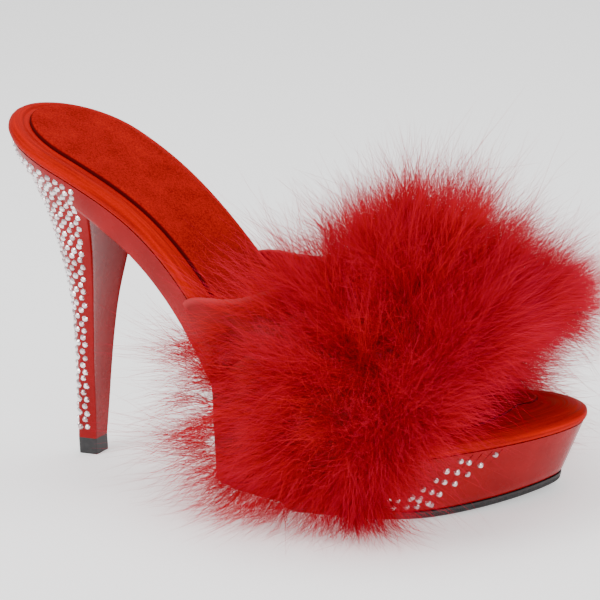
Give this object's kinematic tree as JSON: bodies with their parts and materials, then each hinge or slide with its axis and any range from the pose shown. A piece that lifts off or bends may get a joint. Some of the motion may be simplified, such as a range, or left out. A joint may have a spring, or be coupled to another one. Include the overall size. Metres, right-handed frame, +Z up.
{
  "type": "platform heel mule",
  "caption": "Open-toe platform mule with a tall stiletto heel, raised sock pad, wide vamp and a full feather trim.",
  "frame": {"origin": "middle of the heel top piece's ground face", "axes": "+X towards the toe, +Y towards the inner side of the foot, +Z up"},
  "size_m": [0.2093, 0.1524, 0.1257],
  "materials": {
    "moulded_red": "glossy crimson moulding",
    "tread_black": "matte, fine ribs",
    "tip_black": "satin",
    "wrap_red": "soft sheen",
    "sock_red": "matte nap",
    "vamp_red": "satin",
    "feather_red": "fluffy"
  },
  "bodies": {
    "root": {"unit_sole": "moulded_red", "outsole": "tread_black", "heel_top_piece": "tip_black", "footbed": "wrap_red", "sock_pad": "sock_red", "vamp_upper": "vamp_red", "marabou_trim": "feather_red"}
  },
  "joints": []
}
